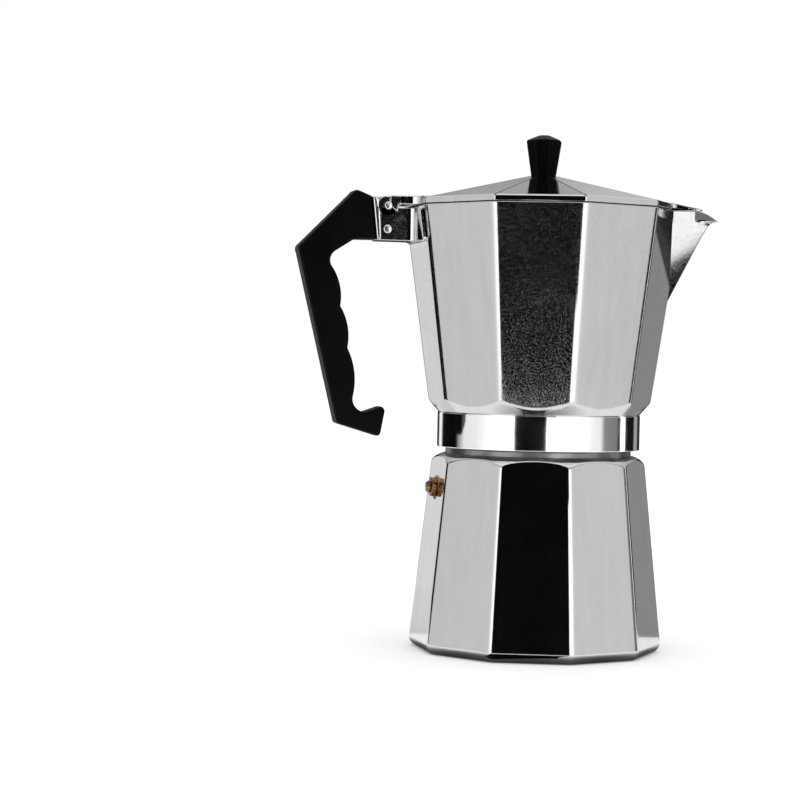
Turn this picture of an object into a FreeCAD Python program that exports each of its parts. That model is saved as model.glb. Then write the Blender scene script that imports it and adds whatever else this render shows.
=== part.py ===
import FreeCAD, Part
import math
import os
import re

import Sketcher

# A ten-sided stovetop moka pot. Millimetres, +Z up. The origin is the centre of the base,
# the handle is towards -X and the spout towards +X. The pot's two halves are screwed together
# and the lid is shut.

# Driving dimensions. Radii of the ten-sided outlines are to their corners.
SIZES = {
    # Water chamber
    "base_radius": 63.2,
    "base_taper": 0.1082,
    "base_top": 98.0,
    "base_round": 4.5,
    "shoulder_low": 87.6,
    "shoulder_reach": 54.5,
    "shoulder_round": 9.4,
    "neck_radius": 46.0,
    "neck_low": 97.0,
    "neck_step": 99.6,
    "neck_top": 112.0,
    "mouth_radius": 38.8,
    "floor_thick": 4.0,
    "cavity_low": 55.9,
    "cavity_high": 47.4,
    "cavity_top": 89.0,
    # Thread between the two chambers: rings of the thread's pitch and section
    "thread_pitch": 4.0,
    "thread_root": 44.2,
    "thread_crest": 45.2,
    "thread_gap": 0.1,
    "thread_foot": 1.4,
    "thread_land": 0.5,
    "thread_start": 102.4,
    # Safety valve, measured outwards from the pot's axis
    "valve_height": 80.4,
    "valve_thread": 4.0,
    "valve_inner": 43.0,
    "valve_seat": 44.5,
    "valve_face": 51.3,
    "valve_flange": 51.9,
    "valve_hexagon": 5.3,
    "valve_front": 55.0,
    "valve_nose": 57.0,
    "valve_chamber": 2.6,
    "valve_inlet": 1.6,
    "valve_stem": 0.87,
    "valve_gap": 0.08,
    "spring_radius": 1.75,
    "spring_wire": 0.3,
    "spring_low": 46.6,
    "spring_pitch": 0.94,
    "spring_length": 5.64,
    # Coffee funnel
    "funnel_radius": 38.2,
    "funnel_skin": 0.9,
    "funnel_rim": 41.0,
    "funnel_ledge": 86.2,
    "funnel_neck": 74.0,
    "funnel_tail": 68.0,
    "stem_radius": 6.1,
    "stem_low": 6.5,
    "plate_thick": 0.8,
    "plate_hole": 0.9,
    "plate_spacing": 5.8,
    # Seal between the chambers
    "gasket_inner": 34.5,
    "gasket_outer": 41.0,
    "gasket_thick": 4.0,
    "filter_radius": 40.8,
    "filter_thick": 1.0,
    "recess_radius": 41.4,
    # Upper chamber
    "collar_radius": 50.2,
    "collar_low": 100.0,
    "collar_top": 117.2,
    "collector_low": 53.69,
    "collector_start": 112.0,
    "collector_taper": 0.14305,
    "spout_height": 180.0,
    "rim_height": 217.7,
    "rim_radius": 68.81,
    "collector_wall": 3.3,
    "collector_floor": 124.0,
    "pinch_reach": 61.8,
    "pinch_width": 18.0,
    "lip_height": 219.4,
    "column_foot": 14.0,
    "column_neck": 6.8,
    "column_top": 193.0,
    "column_bore": 9.5,
    "column_mouth": 4.4,
    "outlet_radius": 2.6,
    # Handle lug and hinge
    "lug_low": 200.2,
    "lug_high": 216.4,
    "lug_half": 7.0,
    "hinge_reach": 80.5,
    "hinge_height": 217.0,
    "hinge_pin": 1.5,
    "hinge_gap": 0.08,
    "lug_round": 5.0,
    "rivet_reach": 80.3,
    "rivet_height": 205.8,
    "rivet_radius": 1.6,
    "tenon_half": 4.5,
    "tenon_gap": 0.2,
    "tenon_tip": 73.2,
    "tenon_low": 202.4,
    "tenon_high": 211.3,
    # Handle
    "handle_thick": 12.0,
    # Lid
    "lid_low": 217.8,
    "lid_edge": 220.9,
    "lid_top": 234.6,
    "lid_plateau": 8.0,
    "lid_skin": 2.4,
    "tongue_low": 220.3,
    "tongue_tip": 84.4,
    "ear_inner": 7.15,
    "ear_outer": 8.65,
    "ear_round": 5.35,
    "ear_root": 72.5,
    "arm_low": 217.9,
    "arm_high": 222.3,
    # Knob
    "knob_foot": 6.4,
    "knob_head": 9.2,
    "knob_crown": 2.8,
    "knob_shoulder": 252.3,
    "knob_top": 255.0,
    "insert_radius": 3.2,
    "insert_high": 246.0,
    "screw_radius": 2.0,
    "screw_head": 4.2,
    "boss_low": 229.4,
}

SIDES = 10
SIDE_ANGLE = 36
FIRST_CORNER = 18
OUTWARD = FreeCAD.Rotation(FreeCAD.Vector(0, 1, 0), -90)
CROSSWISE = FreeCAD.Rotation(FreeCAD.Vector(1, 0, 0), -90)
UPRIGHT_RING = FreeCAD.Rotation(FreeCAD.Vector(1, 0, 0), 90)

doc = FreeCAD.newDocument("moka_pot")
sheet = doc.addObject("Spreadsheet::Sheet", "dim")
for row, (alias, size) in enumerate(SIZES.items(), start=1):
    sheet.set(f"A{row}", alias)
    sheet.set(f"B{row}", str(size))
    sheet.setAlias(f"B{row}", alias)
doc.recompute()

WORD = re.compile(r"[a-z_]+")


# Reading the sheet

def bound(text):
    """An expression with the sheet's name before each of its aliases."""
    return WORD.sub(lambda word: f"dim.{word.group()}" if word.group() in SIZES else word.group(), text)


def number(text):
    """The present value of a sheet expression."""
    return float(sheet.evalExpression(bound(text)))


def tie(thing, place, text):
    """Bind a property to a sheet expression."""
    thing.setExpression(place, bound(text))


# Sketches

def add_arc(sketch, start, end, radius):
    """Add an arc that turns left on its way for a positive radius, and say which ends are which."""
    middle = (start + end) / 2
    chord = end - start
    rise = math.sqrt(radius ** 2 - (chord.Length / 2) ** 2) * math.copysign(1, radius)
    left = FreeCAD.Vector(-chord.y, chord.x, 0).normalize()
    centre = middle + left * rise
    first, last = (start, end) if radius > 0 else (end, start)
    opening = math.atan2(first.y - centre.y, first.x - centre.x)
    closing = math.atan2(last.y - centre.y, last.x - centre.x)
    circle = Part.Circle(centre, FreeCAD.Vector(0, 0, 1), abs(radius))
    side = sketch.addGeometry(Part.ArcOfCircle(circle, opening, closing), False)
    return (side, 1, 2) if radius > 0 else (side, 2, 1)


def fix(sketch, kind, axis, side, end, text):
    """Hold one coordinate of a corner at a sheet expression, or on the axis where it is zero."""
    size = number(text)
    if abs(size) < 1e-9:
        sketch.addConstraint(Sketcher.Constraint("PointOnObject", side, end, axis))
        return
    made = sketch.addConstraint(Sketcher.Constraint(kind, side, end, size))
    tie(sketch, f"Constraints[{made}]", text)


def draw(sketch, corners):
    """Draw a closed outline. A corner is (across, up) or (across, up, radius), as sheet expressions.

    A radius bends the side that leaves the corner: positive turns left on the way, negative right.
    """
    spots = [FreeCAD.Vector(number(corner[0]), number(corner[1]), 0) for corner in corners]
    sides = []
    for index, corner in enumerate(corners):
        start = spots[index]
        end = spots[(index + 1) % len(spots)]
        if len(corner) == 3:
            sides.append(add_arc(sketch, start, end, number(corner[2])))
        else:
            sides.append((sketch.addGeometry(Part.LineSegment(start, end), False), 1, 2))
    for index, corner in enumerate(corners):
        side, first, last = sides[index]
        following, following_first, _ = sides[(index + 1) % len(sides)]
        sketch.addConstraint(Sketcher.Constraint("Coincident", side, last, following, following_first))
        fix(sketch, "DistanceX", -2, side, first, corner[0])
        fix(sketch, "DistanceY", -1, side, first, corner[1])
        if len(corner) == 3:
            made = sketch.addConstraint(Sketcher.Constraint("Radius", side, abs(number(corner[2]))))
            tie(sketch, f"Constraints[{made}]", f"abs({corner[2]})")


def sketch_on(body, name, plane, offset="0"):
    """An empty sketch on one of a body's own origin planes, moved along its normal."""
    sketch = body.newObject("Sketcher::SketchObject", name)
    support = next(item for item in body.Origin.OriginFeatures if item.Role == plane)
    sketch.AttachmentSupport = [(support, "")]
    sketch.MapMode = "FlatFace"
    tie(sketch, "AttachmentOffset.Base.z", offset)
    return sketch


# Solids

def lathe(name, corners):
    """A body turned about Z from an outline of (radius, height) corners."""
    body = doc.addObject("PartDesign::Body", name)
    sketch = sketch_on(body, name + "_outline", "XZ_Plane")
    draw(sketch, corners)
    turned = body.newObject("PartDesign::Revolution", name + "_turned")
    turned.Profile = sketch
    turned.ReferenceAxis = (sketch, ["V_Axis"])
    turned.Angle = 360
    body.Tip = turned
    return body


def ring(name, inner, outer, low, high):
    """A plain turned ring of rectangular section."""
    return lathe(name, [(inner, low), (outer, low), (outer, high), (inner, high)])


def plate(name, plane, corners, thick, low=None):
    """A body padded from an outline: upwards from a height, or both ways from its plane."""
    body = doc.addObject("PartDesign::Body", name)
    sketch = sketch_on(body, name + "_outline", plane, low or "0")
    draw(sketch, corners)
    pad = body.newObject("PartDesign::Pad", name + "_pad")
    pad.Profile = sketch
    tie(pad, "Length", thick)
    if low is None:
        pad.SideType = "Symmetric"
    body.Tip = pad
    return body


def perforate(body, top, spacing, hole, rings):
    """Cut rings of small holes, each ring with six more holes than the one inside it."""
    for turn in range(1, rings + 1):
        sketch = sketch_on(body, f"{body.Name}_hole_{turn}", "XY_Plane", top)
        middle = FreeCAD.Vector(number(spacing) * turn, 0, 0)
        circle = Part.Circle(middle, FreeCAD.Vector(0, 0, 1), number(hole))
        sketch.addGeometry(circle, False)
        sketch.addConstraint(Sketcher.Constraint("PointOnObject", 0, 3, -1))
        across = sketch.addConstraint(Sketcher.Constraint("DistanceX", 0, 3, number(spacing) * turn))
        tie(sketch, f"Constraints[{across}]", f"{spacing} * {turn}")
        wide = sketch.addConstraint(Sketcher.Constraint("Radius", 0, number(hole)))
        tie(sketch, f"Constraints[{wide}]", hole)
        pocket = body.newObject("PartDesign::Pocket", f"{body.Name}_pocket_{turn}")
        pocket.Profile = sketch
        pocket.Type = "ThroughAll"
        pattern = body.newObject("PartDesign::PolarPattern", f"{body.Name}_ring_{turn}")
        pattern.Originals = [pocket]
        pattern.Axis = (sketch, ["N_Axis"])
        pattern.Angle = 360
        pattern.Occurrences = 6 * turn
        body.Tip = pattern
    return body


def layers(name, outlines):
    """A solid with flat facets through outlines of equal corner count, each at its height."""
    sections = []
    for index, (corners, height) in enumerate(outlines):
        sketch = doc.addObject("Sketcher::SketchObject", f"{name}_level_{index}")
        draw(sketch, corners)
        tie(sketch, "Placement.Base.z", height)
        sections.append(sketch)
    loft = doc.addObject("Part::Loft", name)
    loft.Sections = sections
    loft.Solid = True
    loft.Ruled = True
    return loft


def box(name, low, high):
    """A box between two corners given as sheet expressions."""
    made = doc.addObject("Part::Box", name)
    for side, axis, near, far in zip(("Length", "Width", "Height"), "xyz", low, high):
        tie(made, side, f"({far}) - ({near})")
        tie(made, f"Placement.Base.{axis}", near)
    return made


def rod(name, radius, length, rotation, base):
    """A cylinder from a base point along its rotated axis."""
    made = doc.addObject("Part::Cylinder", name)
    tie(made, "Radius", radius)
    tie(made, "Height", length)
    made.Placement = FreeCAD.Placement(FreeCAD.Vector(), rotation)
    for axis, text in zip("xyz", base):
        tie(made, f"Placement.Base.{axis}", text)
    return made


def crossrod(name, radius, half, reach, height):
    """A cylinder across the pot, centred on the plane of the handle."""
    return rod(name, radius, f"2 * ({half})", CROSSWISE, (f"-({reach})", f"-({half})", height))


def turn_outward(thing, start="0"):
    """Lay a piece made about Z along -X at the valve's height."""
    thing.Placement = FreeCAD.Placement(FreeCAD.Vector(), OUTWARD)
    tie(thing, "Placement.Base.x", f"-({start})")
    tie(thing, "Placement.Base.z", "valve_height")
    return thing


def fuse(name, *things):
    made = doc.addObject("Part::MultiFuse", name)
    made.Shapes = list(things)
    return made


def cut(name, base, *tools):
    made = doc.addObject("Part::Cut", name)
    made.Base = base
    made.Tool = tools[0] if len(tools) == 1 else fuse(name + "_tools", *tools)
    return made


def common(name, one, other):
    made = doc.addObject("Part::Common", name)
    made.Base = one
    made.Tool = other
    return made


def decagon(radius, pinch=None):
    """Corners of a ten-sided outline with flats across X; pinch replaces the two beside the spout."""
    corners = []
    for side in range(SIDES):
        angle = f"{FIRST_CORNER + SIDE_ANGLE * side} deg"
        corners.append((f"({radius}) * cos({angle})", f"({radius}) * sin({angle})"))
    if pinch:
        reach, width = pinch
        corners[0] = (reach, width)
        corners[-1] = (reach, f"-({width})")
    return corners


def octagon(radius):
    angles = [45 * side for side in range(8)]
    return [(f"({radius}) * cos({angle} deg)", f"({radius}) * sin({angle} deg)") for angle in angles]


def thread_rings(root, crest, first, count):
    """Corners of evenly pitched ridges, going up."""
    corners = []
    for turn in range(count):
        middle = f"{first} + thread_pitch * {turn}"
        corners.append((root, f"{middle} - thread_foot"))
        corners.append((crest, f"{middle} - thread_land"))
        corners.append((crest, f"{middle} + thread_land"))
        corners.append((root, f"{middle} + thread_foot"))
    return corners


def boiler():
    """Lower chamber: ten flat sides, rounded foot, turned shoulder and threaded neck."""
    flats = layers("boiler_flats", [
        (decagon("base_radius"), "0"),
        (decagon("base_radius - base_taper * base_top"), "base_top"),
    ])
    doc.recompute()
    foot = doc.addObject("Part::Fillet", "boiler_foot")
    foot.Base = flats
    low_edges = [
        index for index, edge in enumerate(flats.Shape.Edges, start=1) if edge.BoundBox.ZMax < 1e-6
    ]
    foot.Edges = [(index, number("base_round"), number("base_round")) for index in low_edges]
    envelope = lathe("boiler_envelope", [
        ("0", "-5"),
        ("90", "-5"),
        ("90", "shoulder_low"),
        ("shoulder_reach", "shoulder_low", "shoulder_round"),
        ("neck_radius", "neck_low"),
        ("0", "neck_low"),
    ])
    neck = lathe("boiler_neck", [
        ("0", "neck_low - 2"),
        ("neck_radius", "neck_low - 2"),
        ("neck_radius", "neck_step"),
        ("thread_root", "neck_step + 0.8"),
        *thread_rings("thread_root", "thread_crest", "thread_start", 3)[1:-1],
        ("thread_root", "neck_top - 0.6"),
        ("thread_root - 0.6", "neck_top"),
        ("0", "neck_top"),
    ])
    cavity = lathe("boiler_cavity", [
        ("0", "floor_thick"),
        ("cavity_low - 5", "floor_thick", "5"),
        ("cavity_low", "floor_thick + 5"),
        ("cavity_high", "cavity_top"),
        ("mouth_radius", "neck_low + 1.5"),
        ("mouth_radius", "neck_top + 1"),
        ("0", "neck_top + 1"),
    ])
    outside = fuse("boiler_outside", common("boiler_body", foot, envelope), neck)
    boss = turn_outward(rod("boiler_boss", "7.5", "5.4", OUTWARD, ("0", "0", "0")), "45.5")
    shell = fuse("boiler_shell", cut("boiler_hollow", outside, cavity), boss)
    hole = turn_outward(rod("valve_hole", "valve_thread", "20", OUTWARD, ("0", "0", "0")), "40")
    seat = turn_outward(rod("valve_spot_face", "6.2", "10", OUTWARD, ("0", "0", "0")), "valve_face")
    return cut("boiler", shell, hole, seat)


def valve():
    """Safety valve: a plunger held on its seat by a spring, in a hexagonal housing through the wall."""
    washer = ring("valve_washer", "valve_thread", "valve_hexagon + 0.3", "valve_face", "valve_flange")
    turn_outward(washer)

    hexagon = doc.addObject("Part::Prism", "valve_head")
    hexagon.Polygon = 6
    tie(hexagon, "Circumradius", "valve_hexagon")
    tie(hexagon, "Height", "valve_front - valve_flange")
    turn_outward(hexagon, "valve_flange")
    shank = rod("valve_shank", "valve_thread", "valve_flange - valve_inner", OUTWARD, ("0", "0", "0"))
    turn_outward(shank, "valve_inner")
    bore = turn_outward(lathe("valve_bore", [
        ("0", "valve_inner - 1"),
        ("valve_inlet", "valve_inner - 1"),
        ("valve_inlet", "valve_seat"),
        ("valve_chamber", "valve_seat"),
        ("valve_chamber", "valve_front + 1"),
        ("0", "valve_front + 1"),
    ]))
    housing = cut("valve_body", fuse("valve_blank", hexagon, shank), bore)

    plunger = turn_outward(lathe("valve_plunger", [
        ("0", "valve_seat + 0.05"),
        ("valve_chamber - 0.4", "valve_seat + 0.05"),
        ("valve_chamber - 0.4", "valve_seat + 1.7"),
        ("valve_stem", "valve_seat + 1.7"),
        ("valve_stem", "valve_nose + 0.2"),
        ("valve_stem - 0.4", "valve_nose + 0.5"),
        ("0", "valve_nose + 0.5"),
    ]))
    cap = turn_outward(lathe("valve_cap", [
        ("valve_stem + valve_gap", "valve_front - 2.2"),
        ("valve_chamber", "valve_front - 2.2"),
        ("valve_chamber", "valve_front"),
        ("valve_chamber + 0.3", "valve_front"),
        ("valve_chamber + 0.3", "valve_nose - 0.6"),
        ("valve_chamber - 0.3", "valve_nose"),
        ("valve_stem + valve_gap", "valve_nose"),
    ]))

    coil = doc.addObject("Part::Helix", "spring_coil")
    tie(coil, "Radius", "spring_radius")
    tie(coil, "Pitch", "spring_pitch")
    tie(coil, "Height", "spring_length")
    turn_outward(coil, "spring_low")
    wire = doc.addObject("Part::Circle", "spring_section")
    tie(wire, "Radius", "spring_wire")
    wire.Placement = FreeCAD.Placement(FreeCAD.Vector(), UPRIGHT_RING)
    tie(wire, "Placement.Base.x", "-spring_low")
    tie(wire, "Placement.Base.z", "valve_height + spring_radius")
    spring = doc.addObject("Part::Sweep", "valve_spring")
    spring.Sections = [wire]
    spring.Spine = (coil, ["Edge1"])
    spring.Solid = True
    spring.Frenet = True
    return [housing, washer, plunger, cap, spring]


def funnel():
    """Coffee basket with a conical bottom, its stem, and the perforated disc that carries the coffee."""
    cup = lathe("funnel_cup", [
        ("funnel_radius - funnel_skin", "neck_top + 1"),
        ("funnel_radius - funnel_skin", "funnel_ledge"),
        ("funnel_radius - 3 * funnel_skin", "funnel_ledge"),
        ("stem_radius", "funnel_neck + 1"),
        ("stem_radius", "funnel_tail"),
        ("stem_radius + funnel_skin", "funnel_tail"),
        ("stem_radius + funnel_skin", "funnel_neck"),
        ("funnel_radius", "funnel_ledge - 1"),
        ("funnel_radius", "neck_top"),
        ("funnel_rim", "neck_top"),
        ("funnel_rim", "neck_top + 1"),
    ])
    stem = ring("funnel_stem", "stem_radius - funnel_skin", "stem_radius", "stem_low", "funnel_neck + 0.4")
    disc = lathe("funnel_plate", [
        ("0", "funnel_ledge"),
        ("funnel_radius - funnel_skin - 0.1", "funnel_ledge"),
        ("funnel_radius - funnel_skin - 0.1", "funnel_ledge + plate_thick"),
        ("0", "funnel_ledge + plate_thick"),
    ])
    perforate(disc, "funnel_ledge + plate_thick", "plate_spacing", "plate_hole", 5)
    return [cup, stem, disc]


def seals():
    """Rubber ring on the funnel's rim, and the upper filter between it and the collector."""
    gasket = ring("gasket", "gasket_inner", "gasket_outer", "neck_top + 1", "neck_top + 1 + gasket_thick")
    low = "neck_top + 1 + gasket_thick"
    disc = lathe("filter_plate", [
        ("0", low),
        ("filter_radius", low),
        ("filter_radius", f"{low} + filter_thick"),
        ("0", f"{low} + filter_thick"),
    ])
    perforate(disc, f"{low} + filter_thick", "plate_spacing", "plate_hole", 5)
    return [gasket, disc]


def spout_outline(ridge, side, width):
    """A level cut through the spout: a keel between two flanks that start on the body."""
    return [("48", f"-({width})"), (side, f"-({width})"), (ridge, "0"), (side, width), ("48", width)]


def spout_layers(name, skin, top):
    """The spout's wedge, drawn in by a skin's thickness; it widens to a lip that turns level."""
    reach = f"{1.4 * skin}"
    levels = [
        ("57.9", "57.2", "1.2", "158"),
        ("69.6", "60", "18.9", "spout_height"),
        ("84.0", "61.1", "17.9", "207"),
        ("86.7", "61.2", "17.8", "211.4"),
        ("88.8", "61.3", "17.7", "213.9"),
        ("91.2", "61.3", "17.6", "215"),
        ("92.9", "61.3", "17.6", "215.4"),
        ("92.9", "pinch_reach - 0.4", "pinch_width - 0.5", top),
    ]
    if skin:
        levels[0] = ("61.6", "56.4", "4", "167")
    outlines = []
    for index, (ridge, side, width, height) in enumerate(levels):
        inset = "0" if index == 0 else reach
        narrow = "0" if index == 0 else f"{skin}"
        outline = spout_outline(f"{ridge} - {inset}", f"{side} - {narrow}", f"{width} - {narrow}")
        outlines.append((outline, height))
    return layers(name, outlines)


def spout():
    """Outside of the spout, with its upper edge level and then dipping to the tip."""
    profile = plate("spout_profile", "XZ_Plane", [
        ("47", "150"),
        ("95", "150"),
        ("95", "215.3"),
        ("92.9", "215.4", "26"),
        ("78", "lip_height + 0.6"),
        ("62", "lip_height"),
        ("47", "lip_height"),
    ], "60")
    return common("spout", spout_layers("spout_wedge", 0, "lip_height + 3"), profile)


def lug():
    """Cast lug for the handle and the lid's hinge, with its pad on the flat side."""
    half = "lug_half"
    foot = plate("lug_foot", "XY_Plane", [
        ("-61", "12"),
        ("-66.6", "12", "4.4"),
        ("-70.9", half),
        ("-84.2", half),
        ("-84.2", f"-{half}"),
        ("-70.9", f"-{half}", "4.4"),
        ("-66.6", "-12"),
        ("-61", "-12"),
    ], "lug_high - lug_low", "lug_low")
    end = plate("lug_end", "XZ_Plane", [
        ("-88", "221.6"),
        ("-85.4", "lug_low"),
        ("-82.6", "lug_low"),
        ("-84.6", "221.6"),
    ], "2 * lug_half")
    knuckle = crossrod("lug_knuckle", "lug_round", half, "hinge_reach", "hinge_height")
    pad = box("lug_pad", ("-1", "-17", "0"), ("5", "17", "17.4"))
    slope = math.degrees(math.atan(number("collector_taper * cos(18 deg)")))
    tilt = FreeCAD.Rotation(FreeCAD.Vector(0, 1, 0), -slope)
    pad.Placement = FreeCAD.Placement(FreeCAD.Vector(), tilt)
    tie(pad, "Placement.Base.x", "-64")
    tie(pad, "Placement.Base.z", "rim_height - 18")
    return [foot, end, knuckle, pad]


def collector():
    """Upper chamber in one casting: collar, ten-sided jug, spout, coffee column and handle lug."""
    pinch = ("pinch_reach", "pinch_width")
    inner_pinch = ("pinch_reach - collector_wall", "pinch_width - 1.2")
    middle = "collector_low + collector_taper * (spout_height - collector_start)"
    flats = layers("collector_flats", [
        (decagon("collector_low"), "collector_start"),
        (decagon(middle), "spout_height"),
        (decagon("rim_radius", pinch), "rim_height"),
    ])
    envelope = lathe("collector_envelope", [
        ("0", "collar_top - 1.2"),
        ("collar_radius - 0.6", "collar_top - 1.2"),
        ("collar_radius - 0.6", "collar_top - 0.2"),
        ("62", "131.3"),
        ("90", "131.3"),
        ("90", "260"),
        ("0", "260"),
    ])
    collar = lathe("collector_collar", [
        ("0", "collar_low"),
        ("collar_radius - 0.5", "collar_low"),
        ("collar_radius", "collar_low + 0.5"),
        ("collar_radius", "collar_top - 0.5"),
        ("collar_radius - 0.5", "collar_top"),
        ("0", "collar_top"),
    ])
    outside = fuse(
        "collector_outside", common("collector_body", flats, envelope), collar, spout(), *lug()
    )
    inside = layers("collector_inside", [
        (decagon("collector_low + collector_taper * 12 - collector_wall"), "collector_floor"),
        (decagon(f"{middle} - collector_wall"), "spout_height"),
        (decagon("rim_radius - collector_wall + 0.2", inner_pinch), "rim_height + 2.5"),
    ])
    channel = spout_layers("spout_channel", 2.2, "lip_height + 3")
    column = lathe("collector_column", [
        ("0", "collector_floor - 1"),
        ("column_foot", "collector_floor - 1"),
        ("column_foot - 2", "collector_floor + 4"),
        ("column_neck", "column_top - 2.2", "2.2"),
        ("column_neck - 2.2", "column_top"),
        ("0", "column_top"),
    ])
    jug = fuse("collector_jug", cut("collector_shell", outside, inside, channel), column)
    underside = lathe("collector_underside", [
        ("0", "collar_low - 1"),
        ("thread_crest + thread_gap + 1", "collar_low - 1"),
        *thread_rings("thread_crest + thread_gap + 1", "thread_crest + thread_gap", "thread_start + 2", 2),
        ("thread_crest + thread_gap + 1", "neck_top + 0.5"),
        ("recess_radius", "neck_top + 0.5"),
        ("recess_radius", "neck_top + 2 + gasket_thick"),
        ("30", "neck_top + 2 + gasket_thick"),
        ("column_bore", "collector_floor - 3"),
        ("column_mouth", "column_top - 7"),
        ("0", "column_top - 7"),
    ])
    outlet = crossrod("column_outlet", "outlet_radius", "12", "0", "column_top - 9")
    hinge_hole = crossrod("hinge_hole", "hinge_pin", "10", "hinge_reach", "hinge_height")
    rivet_hole = crossrod("rivet_hole", "rivet_radius", "10", "rivet_reach", "rivet_height")
    slot = box(
        "tenon_slot",
        ("-92", "-tenon_half - tenon_gap", "tenon_low - tenon_gap"),
        ("-tenon_tip + tenon_gap", "tenon_half + tenon_gap", "tenon_high + tenon_gap"),
    )
    return cut("collector", jug, underside, outlet, hinge_hole, rivet_hole, slot)


def handle():
    """Flat moulded handle with finger grips and an upturned open end, and its tenon into the lug."""
    blade = plate("handle_blade", "XZ_Plane", [
        ("-88", "221.6"),
        ("-94.4", "224.2", "2.6"),
        ("-97.6", "223"),
        ("-122.6", "197.6", "3"),
        ("-123.4", "193.6"),
        ("-103.9", "113", "2.2"),
        ("-102.2", "110.8"),
        ("-83.9", "105.4", "1.8"),
        ("-81.4", "106.8"),
        ("-79.6", "116.8", "2.4"),
        ("-81.6", "119.6"),
        ("-89.4", "116.9", "-6.2"),
        ("-95.5", "124.3", "34"),
        ("-98.7", "147.7", "28"),
        ("-102.6", "168", "26"),
        ("-107.4", "187.6", "-5.4"),
        ("-105.3", "194.7"),
        ("-97.4", "199.8", "-6"),
        ("-93.8", "200.6"),
        ("-85.5", "lug_low + 0.4"),
    ], "handle_thick")
    tenon = box(
        "handle_tenon",
        ("-91", "-tenon_half", "tenon_low"),
        ("-tenon_tip", "tenon_half", "tenon_high"),
    )
    hole = crossrod("handle_hole", "rivet_radius", "10", "rivet_reach", "rivet_height")
    return cut("handle", fuse("handle_whole", blade, tenon), hole)


def headed_pin(name, radius, half, head, head_half, reach, height):
    """A round pin across the pot with a low head at each end."""
    pin = lathe(name, [
        ("0", f"-({head_half})"),
        (f"{head} - 0.4", f"-({head_half})"),
        (head, f"-({half}) - 0.1"),
        (head, f"-({half})"),
        (radius, f"-({half})"),
        (radius, half),
        (head, half),
        (head, f"{half} + 0.1"),
        (f"{head} - 0.4", head_half),
        ("0", head_half),
    ])
    pin.Placement = FreeCAD.Placement(FreeCAD.Vector(), CROSSWISE)
    tie(pin, "Placement.Base.x", f"-{reach}")
    tie(pin, "Placement.Base.z", height)
    return pin


def lid():
    """Low ten-sided roof with a skirt, a tongue over the spout, and two ears beside the lug."""
    pinch = ("pinch_reach", "pinch_width")
    slim = ("pinch_reach - lid_skin", "pinch_width - 1")
    roof = layers("lid_roof", [
        (decagon("rim_radius", pinch), "lid_low"),
        (decagon("rim_radius", pinch), "lid_edge"),
        (decagon("lid_plateau"), "lid_top"),
    ])
    hollow = layers("lid_hollow", [
        (decagon("rim_radius - lid_skin", slim), "lid_low - 1"),
        (decagon("rim_radius - lid_skin", slim), "lid_edge - 1.9"),
        (decagon("lid_plateau + 1.5"), "lid_top - 3.3"),
    ])
    notch = box(
        "lid_notch",
        ("55", "-pinch_width - 0.8", "200"),
        ("100", "pinch_width + 0.8", "tongue_low"),
    )
    boss = rod("lid_boss", "lid_plateau", "4", FreeCAD.Rotation(), ("0", "0", "boss_low"))
    tongue_plan = plate("tongue_plan", "XY_Plane", [
        ("54", "-pinch_width"),
        ("pinch_reach + 1.6", "-pinch_width + 0.6"),
        ("tongue_tip - 1", "-1.2"),
        ("tongue_tip", "0"),
        ("tongue_tip - 1", "1.2"),
        ("pinch_reach + 1.6", "pinch_width - 0.6"),
        ("54", "pinch_width"),
    ], "10", "217")
    tongue_side = plate("tongue_side", "XZ_Plane", [
        ("53", "tongue_low"),
        ("85", "tongue_low"),
        ("85", "tongue_low + 0.6"),
        ("81", "tongue_low + 1.4"),
        ("63", "tongue_low + 2.4"),
        ("53", "tongue_low + 3.2"),
    ], "50")
    arm = plate("lid_arm", "XY_Plane", [
        ("-60", "15.5"),
        ("-65.4", "15.5", "9"),
        ("-71.4", "ear_outer"),
        ("-hinge_reach", "ear_outer"),
        ("-hinge_reach", "-ear_outer"),
        ("-71.4", "-ear_outer", "9"),
        ("-65.4", "-15.5"),
        ("-60", "-15.5"),
    ], "arm_high - arm_low", "arm_low")
    eye = crossrod("lid_eye", "ear_round", "ear_outer", "hinge_reach", "hinge_height")
    gap = box("ear_gap", ("-95", "-ear_inner", "200"), ("-ear_root", "ear_inner", "240"))
    ears = cut("lid_ears", fuse("lid_hinge", arm, eye), gap)
    roofed = fuse(
        "lid_whole", cut("lid_shell", roof, hollow, notch), boss, ears,
        cut("lid_tongue", common("tongue_blank", tongue_plan, tongue_side), hollow)
    )
    hinge_bore = crossrod("ear_bore", "hinge_pin + hinge_gap", "10", "hinge_reach", "hinge_height")
    screw_bore = rod("screw_bore", "screw_radius + 0.1", "20", FreeCAD.Rotation(), ("0", "0", "220"))
    return cut("lid", roofed, hinge_bore, screw_bore)


def knob():
    """Eight-sided knob with a threaded insert, held by a screw and washer from below the lid."""
    block = layers("knob_block", [
        (octagon("knob_foot"), "lid_top"),
        (octagon("knob_head"), "knob_shoulder"),
        (octagon("knob_crown"), "knob_top"),
    ])
    depth = "insert_high - lid_top + 1"
    socket = rod("knob_socket", "insert_radius", depth, FreeCAD.Rotation(), ("0", "0", "lid_top - 1"))
    grip = cut("knob", block, socket)
    insert = ring("knob_insert", "screw_radius", "insert_radius", "lid_top", "insert_high")
    screw = lathe("knob_screw", [
        ("0", "boss_low - 3.2"),
        ("screw_head - 1.2", "boss_low - 3.2", "1.8"),
        ("screw_head", "boss_low - 1.9"),
        ("screw_head", "boss_low - 0.8"),
        ("screw_radius", "boss_low - 0.8"),
        ("screw_radius", "insert_high - 2"),
        ("0", "insert_high - 2"),
    ])
    washer = ring("knob_washer", "screw_radius + 0.1", "screw_head + 1", "boss_low - 0.8", "boss_low")
    return [grip, insert, screw, washer]


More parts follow.
